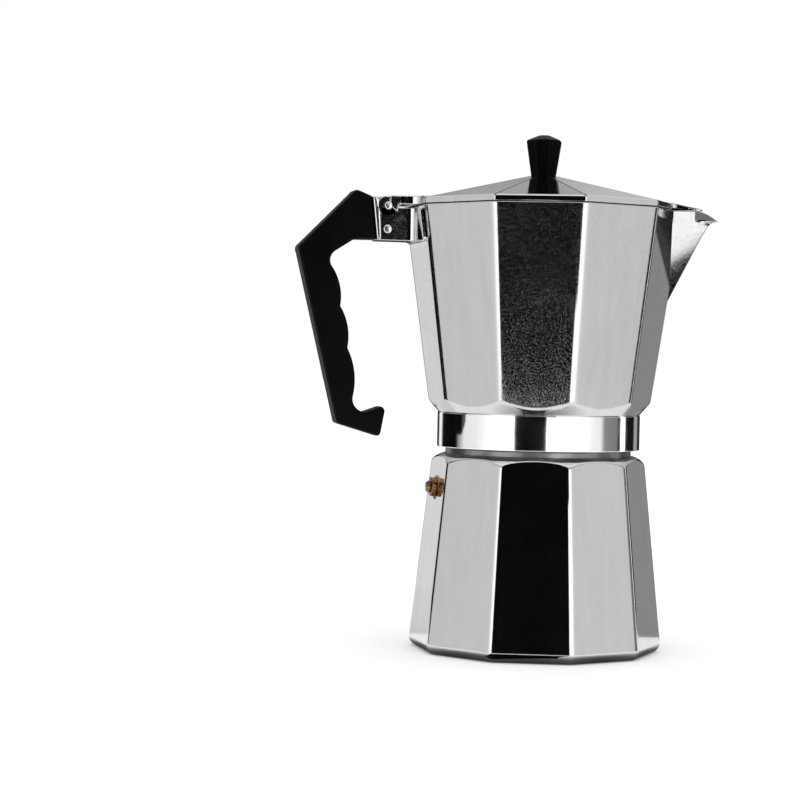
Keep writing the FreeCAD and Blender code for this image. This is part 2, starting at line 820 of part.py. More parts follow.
def handle_pin():
    """Rivet through the handle lug and the handle's tenon."""
    head = "2.1"
    tip = "lug_half + 0.6"
    return headed_pin("handle_pin", "rivet_radius", "lug_half", head, tip, "rivet_reach", "rivet_height")


def hinge_pin():
    """Pin through the lid's ears and the top of the handle lug."""
    head = "1.9"
    inner = "ear_outer + 0.1"
    tip = "ear_outer + 0.8"
    return headed_pin("hinge_pin", "hinge_pin", inner, head, tip, "hinge_reach", "hinge_height")


pieces = [
    boiler(),
    *valve(),
    *funnel(),
    *seals(),
    collector(),
    handle(),
    handle_pin(),
    hinge_pin(),
    lid(),
    *knob(),
]

doc.recompute()

for thing in doc.Objects:
    broken = {"Invalid", "Error"} & set(thing.State)
    if broken:
        raise RuntimeError(f"{thing.Label} is {broken}")

for piece in pieces:
    if piece.Shape.isNull() or not piece.Shape.isValid() or not piece.Shape.Solids:
        raise RuntimeError(f"{piece.Label} has no valid solid")

os.makedirs("parts", exist_ok=True)
for piece in pieces:
    piece.Shape.exportStep(f"parts/{piece.Label}.step")
    print(f"{piece.Label:14s} {piece.Shape.Volume / 1000:8.3f} cm3, {len(piece.Shape.Solids)} solid")
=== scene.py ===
"""Moka pot: meshes, materials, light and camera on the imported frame."""

import math

import bmesh
import bpy
import numpy as np
from mathutils import Matrix, Vector
from mathutils.geometry import tessellate_polygon


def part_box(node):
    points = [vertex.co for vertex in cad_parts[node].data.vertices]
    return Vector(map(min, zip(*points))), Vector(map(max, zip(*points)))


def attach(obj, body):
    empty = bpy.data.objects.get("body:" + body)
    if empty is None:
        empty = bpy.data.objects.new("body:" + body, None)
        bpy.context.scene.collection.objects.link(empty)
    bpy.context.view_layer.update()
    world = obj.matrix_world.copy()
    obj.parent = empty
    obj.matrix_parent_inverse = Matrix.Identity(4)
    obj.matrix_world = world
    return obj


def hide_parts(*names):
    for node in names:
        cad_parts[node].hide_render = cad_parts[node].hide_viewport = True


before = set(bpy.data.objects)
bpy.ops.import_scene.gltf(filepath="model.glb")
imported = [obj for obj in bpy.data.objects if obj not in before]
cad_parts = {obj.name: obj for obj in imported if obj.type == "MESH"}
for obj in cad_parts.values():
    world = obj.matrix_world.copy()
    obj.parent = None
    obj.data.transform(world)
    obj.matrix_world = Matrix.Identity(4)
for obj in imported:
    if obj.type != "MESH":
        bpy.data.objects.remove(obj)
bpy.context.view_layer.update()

# Lengths are in millimetres until a mesh is made. The handle is towards -X, the spout towards +X.
# ANGLE holds every tenth of a degree round the axis, CORNERS the ten corners, NEAR_CORNERS the tenths of
# a degree beside a corner that get vertices, and OUTWARD the valve's place, with its axis along -X.
MM = 0.001
TENTHS = 3600
ANGLE = np.radians(np.arange(TENTHS) / 10 - 180)
DEGREES = np.degrees(ANGLE)
CORNERS = [18 + 36 * k for k in range(-5, 5)]
NEAR_CORNERS = (0, 1, 2, 3, 4, 5, 6, 7, 8, 10, 12, 16, 20, 24, 28, 32, 36, 41, 46)
SHARP = 40
OUTWARD = Matrix.Translation((0, 0, 80.4)) @ Matrix.Rotation(-math.pi / 2, 4, "Y")


# Outlines around the pot's axis, as a radius for each tenth of a degree


def polar(radius, degrees):
    return (radius * math.cos(math.radians(degrees)), radius * math.sin(math.radians(degrees)))


def mix(a, b, t):
    """The point a fraction t of the way from a to b."""
    return tuple(p + (q - p) * t for p, q in zip(a, b))


def radii(points):
    """Radius of a closed outline at every angle; it is seen whole from the axis."""
    reach = np.zeros(TENTHS)
    dx, dy = np.cos(ANGLE), np.sin(ANGLE)
    for (px, py), (qx, qy) in zip(points, points[1:] + points[:1]):
        ex, ey = qx - px, qy - py
        if math.hypot(ex, ey) < 1e-6:
            continue
        turn = dx * ey - dy * ex
        turn = np.where(np.abs(turn) < 1e-9, 1e-9, turn)
        radius = (px * ey - py * ex) / turn
        along = (px * dy - py * dx) / turn
        hit = (along > -1e-6) & (along < 1 + 1e-6) & (radius > 0)
        reach = np.where(hit, np.maximum(reach, radius), reach)
    return reach


def ten_sides(corner):
    return radii([polar(corner, angle) for angle in CORNERS])


def soften(reach, degrees):
    """Rounds an outline's corners over this angle each way."""
    half = max(1, round(degrees * 10))
    weight = 1 + np.cos(np.linspace(-math.pi, math.pi, 2 * half + 3)[1:-1])
    weight /= weight.sum()
    padded = np.concatenate([reach[..., -half:], reach, reach[..., :half]], axis=-1)
    if reach.ndim == 1:
        return np.convolve(padded, weight, "valid")
    return np.array([np.convolve(row, weight, "valid") for row in padded])


def lesser(a, b, width):
    """The smaller of two radii, with the crossing rounded."""
    near = np.maximum(width - np.abs(a - b), 0) / width
    return np.minimum(a, b) - near**2 * width / 4


def greater(a, b, width):
    return -lesser(-a, -b, width)


def sample(heights, table, height):
    """Radius at each angle from a table of outlines, at a height that may differ from angle to angle."""
    height = np.clip(np.broadcast_to(height, TENTHS), heights[0], heights[-1])
    above = np.clip(np.searchsorted(heights, height), 1, len(heights) - 1)
    low, high = heights[above - 1], heights[above]
    part = (height - low) / (high - low)
    column = np.arange(TENTHS)
    return table[above - 1, column] * (1 - part) + table[above, column] * part


def ease(value, low, high):
    part = np.clip((value - low) / (high - low), 0, 1)
    return part * part * (3 - 2 * part)


def picks(step, corners=CORNERS, extra=()):
    """Angles that get vertices: even steps, and close ones at the corners."""
    chosen = set(range(0, TENTHS, step))
    for corner in corners:
        middle = round((corner + 180) * 10)
        for offset in NEAR_CORNERS:
            chosen |= {(middle - offset) % TENTHS, (middle + offset) % TENTHS}
    for low, high, close in extra:
        for middle in range(round((low + 180) * 10), round((high + 180) * 10) + 1, close):
            chosen.add(middle % TENTHS)
    return np.array(sorted(chosen))


# Meshes


def make(name, points, faces):
    """A smooth-shaded mesh object; edges that turn more than SHARP degrees stay sharp."""
    mesh = bpy.data.meshes.new(name)
    mesh.from_pydata([tuple(p) for p in np.asarray(points) * MM], [], faces)
    mesh.validate()
    mesh.shade_smooth()
    mesh.set_sharp_from_angle(angle=math.radians(SHARP))
    obj = bpy.data.objects.new(name, mesh)
    bpy.context.scene.collection.objects.link(obj)
    return obj


def grid(rows, chosen, loop=False):
    """Points and faces of a skin through rows of (radius, height), listed clockwise round its section."""
    cos, sin = np.cos(ANGLE[chosen]), np.sin(ANGLE[chosen])
    points, faces, starts = [], [], []
    count = len(chosen)
    for radius, height in rows:
        starts.append(len(points))
        if np.isscalar(radius) and radius == 0:
            points.append((0.0, 0.0, float(height)))
            continue
        r = np.broadcast_to(radius, TENTHS)[chosen]
        z = np.broadcast_to(height, TENTHS)[chosen]
        points.extend(np.stack([r * cos, r * sin, z], 1).tolist())
    starts.append(len(points))
    sizes = [b - a for a, b in zip(starts, starts[1:])]
    order = list(range(len(rows))) + ([0] if loop else [])
    for one, two in zip(order, order[1:]):
        a, b = starts[one], starts[two]
        for i in range(count):
            j = (i + 1) % count
            if sizes[one] == 1:
                faces.append((a, b + i, b + j))
            elif sizes[two] == 1:
                faces.append((a + i, b, a + j))
            else:
                faces.append((a + i, b + i, b + j, a + j))
    return points, faces


def skin(name, rows, chosen, loop=False, place=None):
    points, faces = grid(rows, chosen, loop)
    obj = make(name, points, faces)
    if place is not None:
        move(obj, place)
    return obj


def move(obj, place):
    """Puts a mesh in place by its vertices; the offset is in millimetres."""
    matrix = place.copy()
    matrix.translation = matrix.translation * MM
    obj.data.transform(matrix)
    return obj


def rounded(corners, steps=5):
    """Rows of a section from (radius, height, rounding) corners."""
    rows = []
    for index, corner in enumerate(corners):
        rounding = corner[2] if len(corner) > 2 else 0
        here = Vector(corner[:2])
        if not rounding or index in (0, len(corners) - 1):
            rows.append((here.x, here.y))
            continue
        before = (Vector(corners[index - 1][:2]) - here).normalized()
        after = (Vector(corners[index + 1][:2]) - here).normalized()
        half = before.angle(after) / 2
        back = rounding / math.tan(half)
        centre = here + (before + after).normalized() * rounding / math.sin(half)
        start, end = here + before * back - centre, here + after * back - centre
        sweep = math.atan2(start.cross(end), start.dot(end))
        for step in range(steps + 1):
            turn = sweep * step / steps
            arm = Matrix.Rotation(turn, 2) @ start
            rows.append((centre.x + arm.x, centre.y + arm.y))
    return rows


def arcs(corners, step=0.7):
    """Points of an outline whose corners may carry the radius of the arc to the next one."""
    points = []
    for index, corner in enumerate(corners):
        here, there = Vector(corner[:2]), Vector(corners[(index + 1) % len(corners)][:2])
        points.append(here)
        chord = there - here
        if len(corner) < 3:
            count = int(chord.length / 4)
            points += [here.lerp(there, k / count) for k in range(1, count)]
            continue
        radius = abs(corner[2])
        side = math.copysign(1, corner[2])
        left = Vector((-chord.y, chord.x)).normalized()
        rise = math.sqrt(max(radius**2 - chord.length_squared / 4, 0))
        centre = (here + there) / 2 + left * rise * side
        sweep = 2 * math.asin(min(1, chord.length / 2 / radius)) * side
        count = max(4, round(abs(sweep) * radius / step))
        for k in range(1, count):
            points.append(centre + Matrix.Rotation(sweep * k / count, 2) @ (here - centre))
    return points


def drawn_in(points, distance):
    """The outline moved inwards; it runs anticlockwise."""
    moved = []
    for index, here in enumerate(points):
        before = (here - points[index - 1]).normalized()
        after = (points[(index + 1) % len(points)] - here).normalized()
        bisector = before + after
        normal = Vector((-bisector.y, bisector.x)).normalized()
        slope = max(0.5, normal.dot(Vector((-after.y, after.x))))
        moved.append(here + normal * distance / slope)
    return moved


UPRIGHT = Matrix(((1, 0, 0), (0, 0, 1), (0, 1, 0)))
LEVEL = Matrix(((1, 0, 0), (0, 1, 0), (0, 0, 1)))


def slab(outline, low, high, rounding, upright=True, steps=4):
    """A flat piece with this outline and rounded edges, as points and faces."""
    rings = []
    for k in range(steps + 1):
        turn = math.pi / 2 * k / steps
        rings.append((rounding * (1 - math.sin(turn)), rounding * (1 - math.cos(turn))))
    levels = [(inset, low + up) for inset, up in rings]
    levels += [(inset, high - up) for inset, up in reversed(rings)]
    turned = UPRIGHT if upright else LEVEL
    points, faces = [], []
    count = len(outline)
    for inset, level in levels:
        ring_points = drawn_in(outline, inset) if inset > 1e-6 else outline
        points += [turned @ Vector((p.x, p.y, level)) for p in ring_points]
    for row in range(len(levels) - 1):
        for i in range(count):
            j = (i + 1) % count
            a, b = row * count, (row + 1) * count
            faces.append((a + i, a + j, b + j, b + i))
    last = (len(levels) - 1) * count
    flat = [Vector((p.x, p.y, 0)) for p in drawn_in(outline, rounding)]
    for triangle in tessellate_polygon([flat]):
        corner = [outline[index] for index in triangle]
        turn = (corner[1] - corner[0]).cross(corner[2] - corner[0])
        a, b, c = triangle if turn > 0 else triangle[::-1]
        faces.append((c, b, a))
        faces.append((last + a, last + b, last + c))
    if upright:
        faces = [face[::-1] for face in faces]
    return points, faces


def joined(name, *parts):
    """One object from several closed shells."""
    points, faces = [], []
    for some_points, some_faces in parts:
        base = len(points)
        points += [tuple(p) for p in some_points]
        faces += [tuple(index + base for index in face) for face in some_faces]
    return make(name, points, faces)


def carve(obj, *cutters):
    """Cuts the cutters out of the object and removes them; the solver works on enlarged meshes."""
    enlarged = 100
    for cutter in cutters:
        cutter.data.transform(Matrix.Scale(enlarged, 4))
        modifier = obj.modifiers.new("carve", "BOOLEAN")
        modifier.object = cutter
        modifier.solver = "FAST"
    obj.data.transform(Matrix.Scale(enlarged, 4))
    bpy.context.view_layer.update()
    result = obj.evaluated_get(bpy.context.evaluated_depsgraph_get())
    mesh = bpy.data.meshes.new_from_object(result)
    obj.modifiers.clear()
    old = obj.data
    obj.data = mesh
    mesh.transform(Matrix.Scale(1 / enlarged, 4))
    bpy.data.meshes.remove(old)
    for cutter in cutters:
        bpy.data.objects.remove(cutter)
    obj.data.set_sharp_from_angle(angle=math.radians(SHARP))
    return obj


def finish_piece(obj, material, body, *nodes, slot=None):
    """Gives a piece its material and its place in the frame."""
    obj.data.materials.clear()
    obj.data.materials.append(material)
    normals = obj.modifiers.new("normals", "WEIGHTED_NORMAL")
    normals.keep_sharp = True
    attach(obj, body)
    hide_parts(*nodes)
    return obj


PITCH = 4.0


def tooth(height, pitch, start, low, high):
    """Height of a screw thread's ridge, 0 to 1, at each angle."""
    phase = ((height - start) / pitch - ANGLE / (2 * math.pi) + 0.5) % 1
    ridge = np.clip((0.34 - np.abs(phase - 0.5)) / 0.16, 0, 1)
    return ridge * ease(height, low, low + 1.5) * (1 - ease(height, high - 1.5, high))


ROUND = np.arange(0, TENTHS, 50)
FINE_ROUND = np.arange(0, TENTHS, 20)
FINEST_ROUND = np.arange(0, TENTHS, 15)


# Upper chamber

WALL = 3.3
JUG_TAPER = 0.14305
FOLD_LOW, FOLD_HIGH, RIM = 180.0, 206.0, 217.7
TONGUE_REACH = 17.2

# Height, reach of the keel, reach of the flanks at the jug's side, and half of the width there
SPOUT_LEVELS = [
    (158.0, 57.9, 57.2, 1.2),
    (180.0, 69.6, 58.9, 9.0),
    (207.0, 84.0, 60.6, 15.8),
    (211.4, 86.7, 61.0, 16.6),
    (212.8, 87.6, 61.1, 16.9),
    (213.9, 88.6, 61.2, 17.1),
    (214.6, 89.7, 61.3, 17.3),
    (215.1, 91.1, 61.3, 17.5),
    (215.3, 92.9, 61.3, 17.6),
    (224.0, 92.9, 61.3, 17.6),
]
JUG_HEIGHTS = np.concatenate([
    np.arange(112, 205, 1.0), np.arange(205, 216, 0.1), np.arange(216, 224, 0.5),
])


def jug_radius(height):
    return 53.69 + JUG_TAPER * (height - 112)


def jug_outline(height, inset):
    """The ten corners at a height; the two beside the spout lean in towards the rim and fold their sides."""
    radius = jug_radius(height) - inset
    corner = {angle: polar(radius, angle) for angle in CORNERS}
    folds = {54: [], -54: []}
    if height > FOLD_LOW:
        part = (height - FOLD_LOW) / (RIM - FOLD_LOW)
        low = polar(jug_radius(FOLD_LOW) - inset, 18)
        high = polar(jug_radius(FOLD_HIGH) - inset, 54)
        front = mix(low, (61.8 - inset, 18 - 0.36 * inset), min(1, part))
        corner[18], corner[-18] = front, (front[0], -front[1])
        if height < FOLD_HIGH:
            fold = mix(low, high, (height - FOLD_LOW) / (FOLD_HIGH - FOLD_LOW))
            folds = {54: [fold], -54: [(fold[0], -fold[1])]}
    points = []
    for angle in CORNERS:
        if angle == 54:
            points += folds[54]
        points.append(corner[angle])
        if angle == -54:
            points += folds[-54]
    return points


def spout_radii(height, inset):
    """Radius of the spout at a height, drawn in by a skin's thickness; the tip is a beak."""
    levels = np.array(SPOUT_LEVELS)
    if inset:
        levels[0] = (167.0, 61.6 + 1.4 * inset, 56.4 + inset, 4.0 + inset)
    if height < levels[0, 0]:
        return np.zeros(TENTHS)
    ridge, side, width = (np.interp(height, levels[:, 0], levels[:, k]) for k in (1, 2, 3))
    ridge, side, width = ridge - 1.4 * inset, side - inset, width - inset
    narrow = 6.5 - inset
    flank = side + (ridge - side) * (1 - narrow / width) if width > narrow else side
    beak = min(flank, 78.2 - inset) if width > narrow else flank
    left = [(side, width)] + ([(beak, narrow)] if width > narrow else [])
    right = [(x, -y) for x, y in left]
    return radii([(40, -width)] + right + [(ridge, 0)] + left[::-1] + [(40, width)])


def jug_body(inset, beside_spout, between, elsewhere):
    """The ten sides at every height, with corners rounded more the further they are from the spout."""
    sides = np.array([radii(jug_outline(height, inset)) for height in JUG_HEIGHTS])
    near, middle, far = (soften(sides, degrees) for degrees in (beside_spout, between, elsewhere))
    away = np.abs(DEGREES)
    near = near + (middle - near) * ease(away, 38, 46)
    return near + (far - near) * ease(away, 68, 76)


def jug_tables(body, skin_depth):
    """The ten sides with the spout blended in, as an outline for each of JUG_HEIGHTS."""
    spout = soften(np.array([spout_radii(height, skin_depth) for height in JUG_HEIGHTS]), 0.3)
    return np.where(spout > 1, greater(body, spout, 1.0), body)


OUTER = jug_tables(jug_body(0, 0.9, 2.0, 3.7), 0)
INNER = jug_tables(jug_body(WALL, 1.2, 1.2, 1.2), 2.2)


def lip_height(reach):
    """Height of the spout's upper edge at this distance towards +X."""
    level = np.interp(reach, [61, 63.2, 72.3, 78.2], [219.2, 219.2, 219.8, 220.1])
    return level - 4.8 * np.clip((reach - 78.2) / 14.7, 0, 1) ** 2


def rim_heights():
    """Height of the rim at each angle: level, then rising along two sides to the spout's lip."""
    top = sample(JUG_HEIGHTS, OUTER, 219.0)
    level = RIM + 1.5 * np.clip((54 - np.abs(DEGREES)) / 36, 0, 1)
    return np.where(np.abs(DEGREES) < TONGUE_REACH, lip_height(top * np.cos(ANGLE)), level)


RIM_LINE = soften(rim_heights(), 0.4)


def collector():
    """The jug with its floor, rim and spout, the turned collar and the female thread."""
    rim_round, floor_round, floor = 0.6, 5, 124.0
    chosen = picks(15, extra=[(16, 54, 5), (-54, -16, 5), (-16, 16, 5), (-2.4, 2.4, 1)])

    def risen(level):
        """Heights that share out the rim's rise above the fold."""
        part = (level - FOLD_LOW) / (RIM - FOLD_LOW)
        return np.where(level <= FOLD_LOW, level, FOLD_LOW + part * (RIM_LINE - rim_round - FOLD_LOW))

    levels = [*np.arange(134, 180, 4.0), *np.arange(180, 206, 2.0), *np.arange(206, 212, 1.0)]
    levels += list(np.arange(212, 217.71, 0.38))
    rows = []
    for part in (0, 0.2, 0.45, 0.7, 0.9, 0.97):
        foot = sample(JUG_HEIGHTS, INNER, floor + 2) - floor_round
        rows.append((9.4 + (foot - 9.4) * part, floor))
    for turn in np.radians([90, 72, 54, 36, 18, 0]):
        height = floor + floor_round * (1 - math.sin(turn))
        inner = sample(JUG_HEIGHTS, INNER, height) - floor_round * (1 - math.cos(turn))
        rows.append((inner, height))
    for level in [131.5] + levels:
        height = risen(level)
        rows.append((sample(JUG_HEIGHTS, INNER, height), height))
    for turn in np.radians([18, 36, 54, 72, 90]):
        height = RIM_LINE - rim_round * (1 - math.sin(turn))
        rows.append((sample(JUG_HEIGHTS, INNER, height) + rim_round * (1 - math.cos(turn)), height))
    for turn in np.radians([90, 72, 54, 36, 18, 0]):
        height = RIM_LINE - rim_round * (1 - math.sin(turn))
        rows.append((sample(JUG_HEIGHTS, OUTER, height) - rim_round * (1 - math.cos(turn)), height))
    for level in reversed([133.0] + levels):
        height = risen(level)
        rows.append((sample(JUG_HEIGHTS, OUTER, height), height))
    for height in [*np.arange(132, 126, -1.5), *np.arange(126, 117.5, -0.4), 117.3]:
        turned = 49.6 + (height - 117) * 12.4 / 14.3
        rows.append((lesser(sample(JUG_HEIGHTS, OUTER, height), turned, 0.5), height))
    rows += rounded([
        (49.4, 117.3), (49.4, 117.2), (50.2, 117.2, 0.5), (50.2, 100, 0.5), (46.3, 100, 0.3),
        (46.3, 100.5),
    ])
    for height in np.arange(100.6, 112.3, 0.2):
        rows.append((46.3 - tooth(height, PITCH, 104.4, 100.6, 112.3), height))
    rows += rounded([
        (46.3, 112.4), (46.3, 112.5), (41.4, 112.5, 0.3), (41.4, 118, 0.5), (30, 118, 3),
        (9.5, 121), (9.4, 122),
    ])
    return grid(rows, chosen, loop=True)


def column():
    """The coffee column, with two outlets under its closed top."""
    section = [
        (2, 193), (6.8, 193, 2.2), (6.8, 188, 30), (11.6, 130, 30), (13, 125.6, 4), (18, 123.4),
        (9.3, 123.3), (4.4, 184, 1), (2, 186),
    ]
    body = skin("column", [(0, 193)] + rounded(section) + [(0, 186)], FINE_ROUND)
    return carve(body, crosswise("drill", [(0, 14), (2.6, 14), (2.6, -14), (0, -14)], 0, 184))


def lug():
    """Cast lug for the handle and hinge, as shells that run into the side of the jug."""
    plan = arcs([
        (-60, 12), (-66.6, 12, -4.6), (-70.9, 7), (-83.4, 7, 2.4), (-85.6, 4.8),
        (-85.6, -4.8, 2.4), (-83.4, -7), (-70.9, -7, -4.6), (-66.6, -12), (-60, -12),
    ], 0.5)
    side = arcs([
        (-84.6, 221.4), (-87.6, 221.4, 0.5), (-87.9, 221.0), (-85.5, 200.4), (-84.9, 200.2),
        (-82.6, 200.2), (-83.6, 216),
    ], 0.5)
    knuckle = arcs([(-75.5, 217, 5), (-85.5, 217, 5)], 0.5)
    foot = slab(plan, 200.2, 216.4, 0.5, upright=False)
    end = slab(side, -7, 7, 1.3)
    eye = slab(knuckle, -7, 7, 0.4)
    return foot, end, eye


def pad():
    """Low pad on the side of the jug behind the lug."""
    outline = arcs([
        (-14.5, 0), (14.5, 0, 2.5), (17, 2.5), (17, 15.4, 2), (15, 17.4), (-15, 17.4, 2),
        (-17, 15.4), (-17, 2.5, 2.5),
    ], 0.5)
    points, faces = slab(outline, -4, 1, 0.7, upright=False)
    tilt = Matrix.Rotation(-math.atan(JUG_TAPER * math.cos(math.radians(18))), 3, "Y")
    turned = []
    for p in points:
        across = tilt @ Vector((-p[2], -p[0], p[1]))
        turned.append(across + Vector((-64, 0, 199.7)))
    return turned, faces


# Lid

LID_TOP, LID_FLAT = 234.6, 7.61
LID_SLOPE = 13.7 / (65.44 - LID_FLAT)


def lid_line():
    """Outline of the lid: the rim's ten sides and the tongue over the spout."""
    body = soften(radii(jug_outline(RIM, 0)), 0.6)
    right = [(40, -17.4), (63.4, -17.4), (72.6, -9.4), (79.5, -4.2), (83.3, -1.6)]
    left = [(x, -y) for x, y in reversed(right)]
    return np.maximum(body, soften(radii(right + [(84.4, 0)] + left), 0.8))


LID_LINE = lid_line()


def roof(reach):
    """Height of the lid's top: ten flat sides down from the middle, and the flatter tongue."""
    out = [reach * np.cos(ANGLE - math.radians(36 * k)) - LID_FLAT for k in range(10)]
    facet = np.minimum(LID_TOP - LID_SLOPE * np.maximum.reduce(out), LID_TOP)
    ahead = reach * np.cos(ANGLE)
    tongue = np.interp(ahead, [53, 63, 81, 84.4], [223.5, 222.7, 221.6, 221.0])
    near = np.abs(DEGREES) < 17.5
    return np.where(near & (ahead > 50), np.maximum(facet, tongue), facet)


def lid_shell():
    """The lid's plate: creased roof, rounded edge, and the hollow underside with its boss."""
    crease_depth, crease_half = 0.12, 0.6
    chosen = picks(15, extra=[(-18, 18, 2)])
    rows = [(0, LID_TOP), (4, LID_TOP), (6.5, LID_TOP)]
    hub = soften(ten_sides(8), 1.5)
    shares = [0, 0.01, 0.03, 0.1, 0.2, 0.32, 0.45, 0.58, 0.7]
    shares += [0.74, 0.78, 0.82, 0.86, 0.9, 0.94, 0.97, 0.985]
    for share in shares:
        reach = hub + (LID_LINE - hub) * share
        aside = reach * np.abs(np.sin(np.radians(DEGREES % 36 - 18)))
        crease = crease_depth * np.maximum(0, 1 - aside / crease_half) if share else 0
        rows.append((reach, soften(roof(reach), 0.5) - crease))
    on_tongue = np.abs(DEGREES) < TONGUE_REACH
    under = np.maximum(RIM_LINE + 0.4, np.where(on_tongue, 220.35, 0))
    edge = np.minimum(roof(LID_LINE), roof(LID_LINE - 1))
    round_by = np.minimum(0.7, (edge - under) / 2.2)
    for turn in np.radians([75, 60, 45, 30, 15, 0]):
        inset, drop = round_by * (1 - math.cos(turn)), round_by * (1 - math.sin(turn))
        rows.append((LID_LINE - inset, edge - drop))
    for turn in np.radians([0, 45, 90]):
        rows.append((LID_LINE - 0.3 * (1 - math.cos(turn)), under + 0.3 * (1 - math.sin(turn))))
    sides = np.minimum(LID_LINE, radii(jug_outline(RIM, 0)))
    inner = np.minimum(LID_LINE - 2.0, soften(sides, 1) - 2.6)
    rows.append((inner + 0.3, under))
    ceiling = roof(inner) - 2.6
    rows.append((inner, np.minimum(under + 0.3, ceiling - 0.2)))
    rows.append((inner, ceiling))
    for part in (0.04, 0.2, 0.4, 0.6, 0.8, 0.97):
        reach = inner + (8.6 - inner) * part
        rows.append((reach - 0.6, roof(reach) - 2.4))
    rows += [(8.0, 231.4), (8.0, 229.8), (7.6, 229.4), (4, 229.4), (0, 229.4)]
    return grid(rows, chosen)


def lid_hinge():
    """Two ears beside the lug, with the arm that joins them to the lid."""
    near, far = 7.15, 8.65
    ear = arcs([
        (-72.6, 218.0), (-72.6, 222.1), (-79.0, 222.15, 5.35), (-75.8, 214.4), (-74.9, 217.4, -1.4),
        (-74.0, 217.95),
    ], 0.4)
    plan = arcs([
        (-60, 14.6), (-64.6, 14.6, -8), (-71.4, far), (-74.4, far), (-74.4, near), (-72.6, near),
        (-72.6, -near), (-74.4, -near), (-74.4, -far), (-71.4, -far, -8), (-64.6, -14.6), (-60, -14.6),
    ], 0.5)
    ears = [slab(ear, -far, -near, 0.6), slab(ear, near, far, 0.6)]
    return ears + [slab(plan, 217.95, 222.15, 0.5, upright=False)]


# Water chamber


BOILER_HEIGHTS = np.arange(-1, 100, 1.0)
BOILER_FLATS = np.array([ten_sides(63.2 - 0.1082 * height) for height in BOILER_HEIGHTS])
BOILER_FLATS = soften(BOILER_FLATS, 2.6)


def boiler_wall(height):
    return sample(BOILER_HEIGHTS, BOILER_FLATS, height)


def shoulder(height):
    """Radius that the shoulder is turned to: an arc from the ten sides in to the neck."""
    start, end, radius = Vector((54.5, 87.6)), Vector((46, 97)), 9.4
    if height < start.y:
        return math.inf
    chord = end - start
    rise = math.sqrt(radius**2 - chord.length_squared / 4)
    centre = (start + end) / 2 + Vector((-chord.y, chord.x)).normalized() * rise
    return max(end.x, centre.x + math.sqrt(max(0, radius**2 - (height - centre.y) ** 2)))


def boiler():
    """Ten flat sides on a rounded foot, the turned shoulder and neck, and the hollow inside."""
    foot, neck_radius = 4.6, 44.2
    rows = [(0, 4), (12, 4), (30, 4), (47, 4)]
    rows += rounded([(49, 4), (55.9, 4, 5), (55.4, 14)])[1:-1]
    rows += [(55.0, 18), (53, 36), (51.2, 54), (49.3, 72), (48, 84)]
    rows += rounded([(47.6, 87), (47.4, 89, 3), (38.8, 98.5, 2), (38.8, 110)])[1:]
    rows += rounded([
        (38.8, 110.5), (38.8, 112, 0.6), (neck_radius, 112, 0.6), (neck_radius, 111),
    ])[1:]
    for height in np.arange(111.2, 100.5, -0.2):
        rows.append((neck_radius + tooth(height, PITCH, 102.4, 100.4, 111.6), height))
    rows += rounded([(neck_radius, 100.45), (neck_radius, 99.8, 0.3), (46, 99.6, 0.4), (46, 97.9)])
    for height in np.arange(97.4, 84.9, -0.35):
        rows.append((lesser(boiler_wall(height), shoulder(height), 0.5), height))
    for height in (84, 82, 78, 70, 60, 50, 40, 30, 20, 12, 8, 6.5, 5.6, 5.2):
        rows.append((boiler_wall(height), height))
    for turn in np.radians(np.arange(0, 91, 7.5)):
        inset, height = foot * (1 - math.cos(turn)), foot * (1 - math.sin(turn))
        rows.append((boiler_wall(foot) - inset, height))
    rows += [(boiler_wall(0) - 5.2, 0), (40, 0), (0, 0)]
    hole = [(0, 60), (6.2, 60), (6.2, 51.3), (4.0, 51.3), (4.0, 40), (0, 40)]
    body = skin("boiler_body", rows, picks(15))
    return carve(body, skin("valve_hole", hole, FINE_ROUND, place=OUTWARD))


# Handle and knob


def handle():
    """The handle's blade with its three finger grips, and the tenon in the lug."""
    outline = arcs([
        (-88.1, 221.4, 0.6), (-88.5, 221.9), (-94.4, 224.2, 2.6), (-97.6, 223), (-122.6, 197.6, 3),
        (-123.4, 193.6), (-103.9, 113, 2.2), (-102.2, 110.8), (-83.9, 105.4, 1.8), (-81.4, 106.8),
        (-79.6, 116.8, 2.4), (-81.6, 119.6), (-89.4, 116.9, -6.2), (-95.5, 124.3, 34),
        (-98.7, 147.7, 28), (-102.6, 168, 26), (-107.4, 187.6, -5.4), (-105.3, 194.7),
        (-97.4, 199.8, -6), (-93.8, 200.6), (-85.8, 200.7),
    ], 0.6)
    blade = slab(outline, -6, 6, 1.6, steps=6)
    tenon = arcs([(-91, 202.4), (-73.3, 202.4), (-73.3, 211.3), (-91, 211.3)])
    return blade, slab(tenon, -4.5, 4.5, 0.3)


KNOB_CORNERS = [45 * k for k in range(-4, 4)]


def octagon_row(corner):
    return soften(radii([polar(corner, angle) for angle in KNOB_CORNERS]), 3.5)


def knob():
    top, foot = 255, 234.62
    chosen = picks(20, corners=KNOB_CORNERS, extra=[(-180, 180, 15)])
    section = [(0.01, top), (2.8, top, 1.2), (9.2, 252.3, 1.1), (6.4, foot, 0.3), (0.01, foot)]
    profile = rounded(section, 6)
    rows = [(0, top)]
    for one, two in zip(profile[1:], profile[2:]):
        count = max(1, int(abs(two[1] - one[1]) / 3))
        for k in range(count):
            radius, height = mix(one, two, k / count)
            rows.append((octagon_row(radius), height))
    rows += [(3.0, foot), (0, foot)]
    return skin("knob_grip", rows, chosen)


# Small pieces


def crosswise(name, rows, reach, height):
    """A round piece across the pot, from its section along its own axis."""
    place = Matrix.Translation((-reach, 0, height)) @ Matrix.Rotation(math.pi / 2, 4, "X")
    return skin(name, rows, ROUND, place=place)


